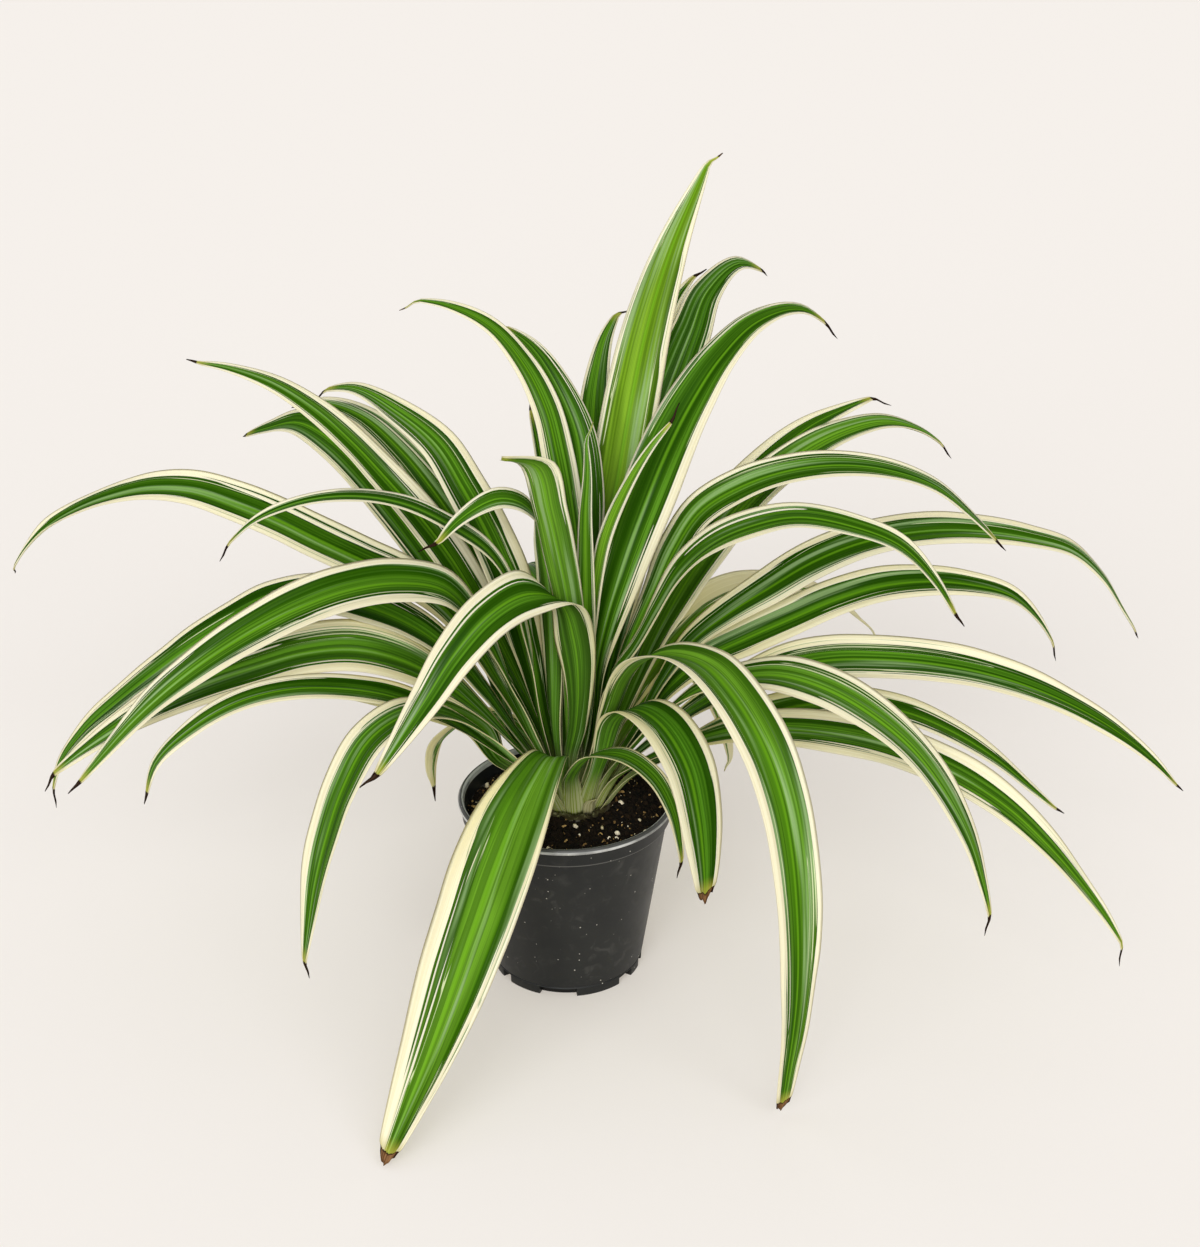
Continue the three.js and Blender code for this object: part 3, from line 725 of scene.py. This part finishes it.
def blade_tree():
    """A closed blade along its guide: creased at the midrib, ribbed, and rippled at its edges."""
    tree, put = new_tree("blade_along_guide", BLADE_INPUTS)
    given = put("NodeGroupInput").node.outputs
    step = partial(put, RANGE, interpolation_type="SMOOTHSTEP")
    times = partial(put, MATH, operation="MULTIPLY")
    times_plus = partial(put, MATH, operation="MULTIPLY_ADD")
    stretch = partial(put, VECTOR_MATH, operation="SCALE")
    plus = partial(put, VECTOR_MATH, operation="ADD")
    size_of = partial(put, MATH, operation="ABSOLUTE")

    line = put("GeometryNodeMeshToCurve", (given["Geometry"],))
    line = put("GeometryNodeCurveSplineType", (line,), spline_type="CATMULL_ROM")
    line = put("GeometryNodeResampleCurve", {"Curve": line, "Length": given["Step"]}, mode="LENGTH")
    rows = put("GeometryNodeAttributeDomainSize", (line,), "Point Count", component="CURVE")
    columns = put(MATH, (given["Columns"], 1), operation="ADD")
    sheet = put("GeometryNodeMeshGrid", {"Vertices X": columns, "Vertices Y": rows}, "Mesh")

    # The grid's points run along a column of the blade first.
    index = put("GeometryNodeInputIndex")
    row = put(MATH, (index, rows), operation="MODULO")
    column = put(MATH, (put(MATH, (index, 0.5), operation="ADD"), rows), operation="DIVIDE")
    column = put(MATH, (column,), operation="FLOOR")
    share = put(MATH, (column, given["Columns"]), operation="DIVIDE")
    across = times_plus((share, 2, -1))
    out = size_of((across,))

    on_line = partial(put, "GeometryNodeSampleIndex", domain="POINT")
    carried = partial(put, "GeometryNodeInputNamedAttribute", data_type="FLOAT_VECTOR")
    midrib, tangent, half_span, edge_rise = (
        on_line({"Geometry": line, "Value": value, "Index": row}, data_type="FLOAT_VECTOR")
        for value in (
            put("GeometryNodeInputPosition"),
            put("GeometryNodeInputTangent"),
            carried(("half_span",)),
            carried(("edge_rise",)),
        )
    )
    reach = put("GeometryNodeSplineParameter", out="Length")
    along = on_line({"Geometry": line, "Value": reach, "Index": row}, data_type="FLOAT")
    last_row = put(MATH, (rows, 1), operation="SUBTRACT")
    total = on_line({"Geometry": line, "Value": reach, "Index": last_row}, data_type="FLOAT")
    to_tip = put(MATH, (total, along), operation="SUBTRACT")

    # Cross-section: a rounded crease, wider and more folded at the foot.
    foot = step((along, 34 * MM, 2 * MM, 0, 1))
    width = times((across, times_plus((foot, given["Foot spread"], 1))))
    width = times((width, step((to_tip, 1 * MM, 14 * MM, given["Tip width"], 1))))
    crease = put(MATH, (times_plus((across, across, 0.03)),), operation="SQRT")
    fold = times((times_plus((crease, 1.12, -0.14)), times_plus((foot, 1.3, 1))))
    place = plus((midrib, stretch((half_span, width))))
    place = plus((place, stretch((edge_rise, fold))))
    normal = put(VECTOR_MATH, (tangent, half_span), operation="CROSS_PRODUCT")
    normal = put(VECTOR_MATH, (normal,), operation="NORMALIZE")

    # Edge ripples, free of the foot and dying out at the tip, and ribs along the blade.
    side = times((put(MATH, (across,), operation="SIGN"), 3.1))
    wave = put(NOISE, (put(COMBINE, (side, times((along, 17)), given["Seed"])), 1.0, 1.0, 0.5))
    free = times((put(MATH, (out, 2), operation="POWER"), step((along, 40 * MM, 90 * MM, 0, 4))))
    free = times((free, step((to_tip, 4 * MM, 40 * MM, 0, given["Ripple"]))))
    ripple = times((times_plus((wave, 1, -0.5)), free))
    ribs = put(MATH, (times((out, 17.3)),), operation="COSINE")
    lift = times_plus((ribs, step((to_tip, 2 * MM, 30 * MM, 0, given["Rib height"])), ripple))
    place = plus((place, stretch((normal, lift))))

    # A torn tip is cut back unevenly, most at its corners. A whole one ends in a curl.
    tear = put(NOISE, (put(COMBINE, (times((across, 2.2)), given["Seed"], 0)), 1.0, 2.0, 0.5))
    torn_back = step((to_tip, 12 * MM, 0, 0, given["Ragged tip"]))
    tear = put(MATH, (times_plus((tear, 0.5, -0.3)), times((out, 0.4))), operation="SUBTRACT")
    place = plus((place, stretch((tangent, times((tear, torn_back))))))
    sideways = put(VECTOR_MATH, (normal, tangent), operation="CROSS_PRODUCT")
    curl = put(MATH, (step((to_tip, 12 * MM, 0, 0, 1)), 2), operation="POWER")
    curl = times((curl, given["Tip curl"]))
    place = plus((place, stretch((sideways, curl))))
    place = plus((place, stretch((normal, times((size_of((curl,)), -0.6))))))

    # The two skins meet at the rim, the foot's end and the tip.
    rim = put(MATH, (1, times((out, out))), operation="SUBTRACT")
    rim = put(MATH, (put(MATH, (rim, 0), operation="MAXIMUM"),), operation="SQRT")
    half = times((rim, times((given["Thickness"], 0.5))))
    half = times((half, step((to_tip, 0, 3 * MM, 0, 1))))
    half = times((half, step((along, 0, 1 * MM, 0, 1))))
    values = {
        "across": across,
        "along": along,
        "to_tip": to_tip,
        "tone": given["Tone"],
        "margin": given["Margin"],
        "bias": given["Bias"],
        "dead_tip": given["Dead tip"],
        "seed": given["Seed"],
    }
    store = partial(put, "GeometryNodeStoreNamedAttribute")
    skins = []
    for under in (0, 1):
        away = times((half, -1 if under else 1))
        place_on_skin = plus((place, stretch((normal, away))))
        skin = put("GeometryNodeSetPosition", {"Geometry": sheet, "Position": place_on_skin})
        for name, value in values.items():
            skin = store({"Geometry": skin, "Name": name, "Value": value})
        skin = store({"Geometry": skin, "Name": "underside", "Value": float(under)}, domain="FACE")
        skins.append(skin if under else put("GeometryNodeFlipFaces", (skin,)))
    blade = put("GeometryNodeJoinGeometry", (skins,))
    blade = put("GeometryNodeMergeByDistance", {"Geometry": blade, "Distance": 0.01 * MM})
    blade = put("GeometryNodeSetShadeSmooth", (blade,))
    blade = put("GeometryNodeRealizeInstances", (blade,))
    blade = put("GeometryNodeSetMaterial", {"Geometry": blade, "Material": given["Material"]})
    put("NodeGroupOutput", (blade,))
    return tree


def grain_tree():
    """Loose grains strewn over a surface, turned at random and half sunk into it."""
    tree, put = new_tree("grains_on_surface", GRAIN_INPUTS)
    given = put("NodeGroupInput").node.outputs
    chance = partial(put, "FunctionNodeRandomValue")
    points = put(
        "GeometryNodeDistributePointsOnFaces",
        {"Mesh": given["Geometry"], "Density": given["Density"], "Seed": given["Seed"]},
    )
    ball = put(
        "GeometryNodeMeshIcoSphere", {"Radius": 0.5, "Subdivisions": given["Fineness"]}, "Mesh"
    )
    size = chance({"Min": 0.0, "Max": 1.0, "Seed": given["Seed"]}, data_type="FLOAT")
    size = put(MATH, (size, 3.5), operation="POWER")
    size = put(RANGE, (size, 0, 1, given["Smallest"], given["Largest"]))
    shape = put(COMBINE, (given["Length"], 1, given["Flatness"]))
    any_way = {"Min": (0, 0, 0), "Max": (math.tau, math.tau, math.tau), "Seed": 3}
    grains = put(
        "GeometryNodeInstanceOnPoints",
        {
            "Points": points,
            "Instance": ball,
            "Rotation": chance(any_way, data_type="FLOAT_VECTOR"),
            "Scale": put(VECTOR_MATH, (shape, size), operation="SCALE"),
        },
    )
    shade = chance({"Min": 0.0, "Max": 1.0, "Seed": 5}, data_type="FLOAT")
    grains = put(
        "GeometryNodeStoreNamedAttribute",
        {"Geometry": grains, "Name": "grain_shade", "Value": shade},
        domain="INSTANCE",
    )
    grains = put("GeometryNodeRealizeInstances", (grains,))
    lumps = put(NOISE, (put("GeometryNodeInputPosition"), 900.0, 1.0, 0.5), "Color")
    lumps = put(VECTOR_MATH, (lumps, (0.5, 0.5, 0.5)), operation="SUBTRACT")
    lumps = put(VECTOR_MATH, (lumps, 0.9 * MM), operation="SCALE")
    grains = put("GeometryNodeSetPosition", {"Geometry": grains, "Offset": lumps})
    grains = put("GeometryNodeSetMaterial", {"Geometry": grains, "Material": given["Material"]})
    put("NodeGroupOutput", (grains,))
    return tree


def rounded_section(section_mm, steps=3):
    """A section's points in metres, with each corner rounded by its own radius."""
    points = [Vector((radius, height)) * MM for radius, height, _ in section_mm]
    done = []
    for i, (_, _, rounding) in enumerate(section_mm):
        here = points[i]
        before = points[i - 1] - here
        after = points[(i + 1) % len(points)] - here
        reach = min(rounding * MM, 0.45 * before.length, 0.45 * after.length)
        start = here + before.normalized() * reach
        end = here + after.normalized() * reach
        for k in range(steps + 1 if rounding else 1):
            t = k / steps
            done.append(start * (1 - t) ** 2 + here * 2 * t * (1 - t) + end * t**2)
    return done


def turned(name, section, sides):
    """A closed solid of revolution round Z; the section's ends may lie on Z."""
    shape = bmesh.new()
    columns = []
    for k in range(sides):
        turn = math.tau * k / sides
        ways = (math.cos(turn), math.sin(turn))
        columns.append([shape.verts.new((p.x * ways[0], p.x * ways[1], p.y)) for p in section])
    for k in range(sides):
        here, there = columns[k], columns[(k + 1) % sides]
        for i in range(len(section)):
            j = (i + 1) % len(section)
            if max(section[i].x, section[j].x) > 1e-9:
                shape.faces.new((here[i], there[i], there[j], here[j]))
    return finished(shape, name)


def sector(inner, outer, low, high, start, end):
    """A closed block between two radii (mm), two heights (mm) and two angles (degrees)."""
    shape = bmesh.new()
    steps = max(2, round((end - start) / 3))
    rings = []
    for k in range(steps + 1):
        turn = math.radians(start + (end - start) * k / steps)
        corners = ((inner, low), (outer, low), (outer, high), (inner, high))
        places = [Vector((r * math.cos(turn), r * math.sin(turn), z)) * MM for r, z in corners]
        rings.append([shape.verts.new(place) for place in places])
    for a, b in zip(rings, rings[1:]):
        for i in range(4):
            shape.faces.new((a[i], b[i], b[(i + 1) % 4], a[(i + 1) % 4]))
    shape.faces.new(rings[0])
    shape.faces.new(rings[-1])
    return finished(shape, "notch")


def cut(mesh, cutters):
    """The mesh less each cutter."""
    body = bpy.data.objects.new(mesh.name, mesh)
    bpy.context.scene.collection.objects.link(body)
    tools = []
    for cutter in cutters:
        tool = bpy.data.objects.new("cutter", cutter)
        bpy.context.scene.collection.objects.link(tool)
        tools.append(tool)
        modifier = body.modifiers.new("cut", "BOOLEAN")
        modifier.operation = "DIFFERENCE"
        modifier.solver = "EXACT"
        modifier.object = tool
    result = evaluated_mesh(body)
    for tool in tools:
        bpy.data.objects.remove(tool)
    return result


def smooth_but_sharp(mesh, degrees=32):
    """Shades a mesh smooth, except across edges sharper than an angle."""
    shape = bmesh.new()
    shape.from_mesh(mesh)
    for face in shape.faces:
        face.smooth = True
    for edge in shape.edges:
        edge.smooth = edge.calc_face_angle(0) < math.radians(degrees)
    shape.to_mesh(mesh)
    shape.free()


def disc(rings, sectors, place):
    """A bmesh disc of rings and sectors; place gives a point by ring share and angle."""
    shape = bmesh.new()
    verts = [
        [shape.verts.new(place(ring / rings, math.tau * k / sectors)) for k in range(sectors)]
        for ring in range(rings + 1)
    ]
    for inner, outer in zip(verts, verts[1:]):
        for k in range(sectors):
            j = (k + 1) % sectors
            shape.faces.new((inner[k], outer[k], outer[j], inner[j]))
    return shape, verts[-1]


def closed_below(shape, edge, foot_places):
    """Closes a disc with a wall from its edge to foot_places, and a floor."""
    foot = [shape.verts.new(place) for place in foot_places]
    for k in range(len(edge)):
        j = (k + 1) % len(edge)
        shape.faces.new((edge[k], foot[k], foot[j], edge[j]))
    shape.faces.new(foot)
    return shape


class PLANT_OT_pot(bpy.types.Operator):
    """Turns the nursery pot with rounded edges and cuts the drain notches of its foot"""

    bl_idname = "plant.pot"
    bl_label = "Pot"

    def execute(self, context):
        section = rounded_section(POT_SECTION_MM + POT_UNDERSIDE_MM)
        cutters = []
        for half in (0, 180):
            for start, end in NOTCHES:
                cutters.append(sector(*RECESS_MM, start + half, end + half))
                cutters.append(sector(*SLOT_MM, start + half + 1, end + half - 1))
        mesh = cut(turned("pot", section, context.scene.spider_plant.pot_sides), cutters)
        smooth_but_sharp(mesh)
        new_piece("nursery_pot", mesh, pot_material(), "pot", "pot")
        return {"FINISHED"}


class PLANT_OT_potting_mix(bpy.types.Operator):
    """Gives the potting mix its rough relief and strews crumbs, bark and perlite on it"""

    bl_idname = "plant.potting_mix"
    bl_label = "Potting mix"

    def execute(self, context):
        settings = context.scene.spider_plant
        solid = merged_copy("potting_mix")
        surface = BVHTree.FromBMesh(solid)
        solid.free()
        low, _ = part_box("potting_mix")

        def radius_at(z):
            return surface.ray_cast(Vector((0.1, 0, z)), Vector((-1, 0, 0)))[0].x

        foot_radius = radius_at(low.z + 1 * MM)
        rim = radius_at(CROWN_TOP.z - 1 * MM)

        def level_at(x, y):
            hit = surface.ray_cast(Vector((0.97 * x, 0.97 * y, 0.2)), Vector((0, 0, -1)))[0]
            level = max(hit.z if hit else 0, CROWN_TOP.z - 1.5 * MM)
            # Clumps 5 mm apart with finer ones on them, over swells 10 mm apart.
            rough = noise.fractal(Vector((x, y, 0)) * 210, 0.9, 2.1, 4)
            coarse = noise.noise(Vector((x, y, 0.04)) * 95)
            return level + 0.9 * MM * (rough + coarse)

        def place(share, turn):
            x, y = rim * share * math.cos(turn), rim * share * math.sin(turn)
            return x, y, level_at(x, y)

        shape, edge = disc(*MIX_MESH, place)
        top = bpy.data.meshes.new("mix_top")
        shape.to_mesh(top)
        feet = [vert.co * (foot_radius / rim) for vert in edge]
        shape = closed_below(shape, edge, [(foot.x, foot.y, low.z) for foot in feet])
        mesh = finished(shape, "potting_mix")
        new_piece("mix_bed", mesh, mix_material(), "potting_mix", "potting_mix")

        tree = grain_tree()
        crumb = grain_material("dark_compost_crumb", "060402", "261A0C", 0.9)
        bark = grain_material("composted_bark", "54381C", "D2AC6C", 0.85)
        perlite = grain_material("expanded_perlite", "D2C29A", "FFF2D8", 0.9)
        crumbs, perlites = settings.crumb_density, settings.perlite_density
        # Each kind's name and material, then the tree's other inputs in their order.
        kinds = (
            ("mix_crumbs", crumb, crumbs, 0.7 * MM, 3.0 * MM, 1.2, 0.8, 1, 11),
            ("mix_bark", bark, crumbs * 0.07, 0.7 * MM, 2.6 * MM, 2.2, 0.6, 1, 23),
            ("mix_perlite", perlite, perlites, 0.6 * MM, 4.2 * MM, 1.35, 0.75, 2, 37),
        )
        for name, finish, *given in kinds:
            values = dict(zip(GRAIN_INPUTS, (*given, finish)))
            new_piece(name, grown(top, tree, values), finish, "potting_mix")
        return {"FINISHED"}


class PLANT_OT_crown(bpy.types.Operator):
    """Swells the crown between the leaf bases into a low mound of overlapping scales"""

    bl_idname = "plant.crown"
    bl_label = "Crown"

    def execute(self, context):
        def place(share, turn):
            # Nine scales lie round the crown and wind inwards.
            scale = abs(math.sin(turn * 4.5 + 9 * share)) ** 0.5
            rise = 1.2 * (1 - share**2) + 0.8 * scale * math.sin(math.pi * share)
            out = CROWN_RADIUS * share
            return CROWN_TOP + Vector((out * math.cos(turn), out * math.sin(turn), rise * MM))

        shape, edge = disc(*CROWN_MESH, place)
        feet = [(vert.co.x, vert.co.y, CROWN_LOW.z) for vert in edge]
        mesh = finished(closed_below(shape, edge, feet), "crown")
        new_piece("crown_mound", mesh, crown_material(), "crown", "crown")
        return {"FINISHED"}


class PLANT_OT_blades(bpy.types.Operator):
    """Grows every blade and the dry sheath along its CAD solid"""

    bl_idname = "plant.blades"
    bl_label = "Blades"

    def execute(self, context):
        settings = context.scene.spider_plant
        tree = blade_tree()
        leaf, sheath = leaf_material(), sheath_material()
        chance = random.Random(41)
        for node in sorted(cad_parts):
            if not node.startswith(("leaf_", "sheath_")):
                continue
            dry = node.startswith("sheath_")
            short = node.partition("_")[2]
            tone, margin, bias = BLADE_LOOKS.get(short, USUAL_BLADE)
            torn = dry or short in TORN_TIPS
            blunt = torn or short == "up_pale"
            if torn:
                dead_tip = TORN_DEAD_MM
            elif short in LIVING_TIPS:
                dead_tip = 0
            else:
                dead_tip = chance.uniform(*USUAL_DEAD_MM)
            if short in BARELY_DEAD_TIPS:
                dead_tip = BARELY_DEAD_MM
            values = {
                "Step": settings.blade_step,
                "Columns": settings.blade_columns,
                "Thickness": settings.blade_thickness,
                "Ripple": settings.ripple,
                "Rib height": settings.rib_height,
                "Foot spread": 0.0 if dry else settings.foot_spread,
                "Ragged tip": 12 * MM if torn else 0.0,
                "Tip width": 1.0 if blunt else 0.6,
                "Tip curl": 0.0 if blunt else chance.choice((-1, 1)) * chance.uniform(2, 6) * MM,
                "Dead tip": dead_tip * MM,
                "Tone": min(1.0, max(0.0, tone + chance.uniform(-0.08, 0.08))),
                "Margin": margin + chance.uniform(-0.03, 0.03),
                "Bias": bias + chance.uniform(-0.05, 0.05),
                "Seed": chance.uniform(0, 60),
                "Material": sheath if dry else leaf,
            }
            mesh = grown(blade_guide(node), tree, values)
            finish, slot = (sheath, "sheath") if dry else (leaf, "leaf")
            name = "papery_sheath" if dry else "blade_" + short
            new_piece(name, mesh, finish, slot, node)
        return {"FINISHED"}


class PLANT_OT_stage(bpy.types.Operator):
    """Lays the studio floor, lights it softly and sets the photograph's camera"""

    bl_idname = "plant.stage"
    bl_label = "Stage"

    def execute(self, context):
        scene = context.scene
        settings = scene.spider_plant
        mesh = bpy.data.meshes.new("floor")
        signs = ((-1, -1), (1, -1), (1, 1), (-1, 1))
        corners = [(FLOOR_HALF * x, FLOOR_HALF * y, 0) for x, y in signs]
        mesh.from_pydata(corners, [], [(0, 1, 2, 3)])
        mesh.materials.append(floor_material())
        floor = bpy.data.objects.new("floor", mesh)
        scene.collection.objects.link(floor)

        world = bpy.data.worlds.new("studio_air")
        world.use_nodes = True
        background = next(n for n in world.node_tree.nodes if n.type == "BACKGROUND")
        background.inputs["Color"].default_value = linear("FFFFFF")
        background.inputs["Strength"].default_value = settings.sky
        scene.world = world

        for name, share, way in SOFTBOXES:
            sun = bpy.data.lights.new(name, "SUN")
            sun.energy = share * settings.key
            sun.angle = SOFTBOX_ANGLE
            softbox = bpy.data.objects.new(name, sun)
            softbox.rotation_euler = Vector(way).to_track_quat("-Z", "Y").to_euler()
            scene.collection.objects.link(softbox)

        lens = bpy.data.cameras.new("photograph")
        lens.sensor_width = SENSOR_MM
        lens.lens = SENSOR_MM * FOCAL_PX / max(PICTURE_PX)
        camera = bpy.data.objects.new("photograph", lens)
        camera.location = CAMERA_PLACE
        camera.rotation_euler = (math.pi / 2 - CAMERA_PITCH, 0, 0)
        scene.collection.objects.link(camera)
        scene.camera = camera
        scene.view_settings.view_transform = "Standard"
        return {"FINISHED"}


OPERATORS = (
    PLANT_OT_pot,
    PLANT_OT_potting_mix,
    PLANT_OT_crown,
    PLANT_OT_blades,
    PLANT_OT_stage,
)


class PLANT_PT_panel(bpy.types.Panel):
    """Lists the plant's steps and sizes in the sidebar"""

    bl_idname = "PLANT_PT_panel"
    bl_label = "Spider Plant"
    bl_space_type = "VIEW_3D"
    bl_region_type = "UI"
    bl_category = "Plant"

    def draw(self, context):
        for operator in OPERATORS:
            self.layout.operator(operator.bl_idname)
        for name in SpiderPlantSettings.__annotations__:
            self.layout.prop(context.scene.spider_plant, name)


CLASSES = (SpiderPlantSettings, *OPERATORS, PLANT_PT_panel)


def register():
    for cls in CLASSES:
        bpy.utils.register_class(cls)
    bpy.types.Scene.spider_plant = PointerProperty(type=SpiderPlantSettings)


def unregister():
    del bpy.types.Scene.spider_plant
    for cls in reversed(CLASSES):
        bpy.utils.unregister_class(cls)


def main():
    register()
    bpy.ops.plant.pot()
    bpy.ops.plant.potting_mix()
    bpy.ops.plant.crown()
    bpy.ops.plant.blades()
    bpy.ops.plant.stage()


if __name__ == "__main__":
    main()
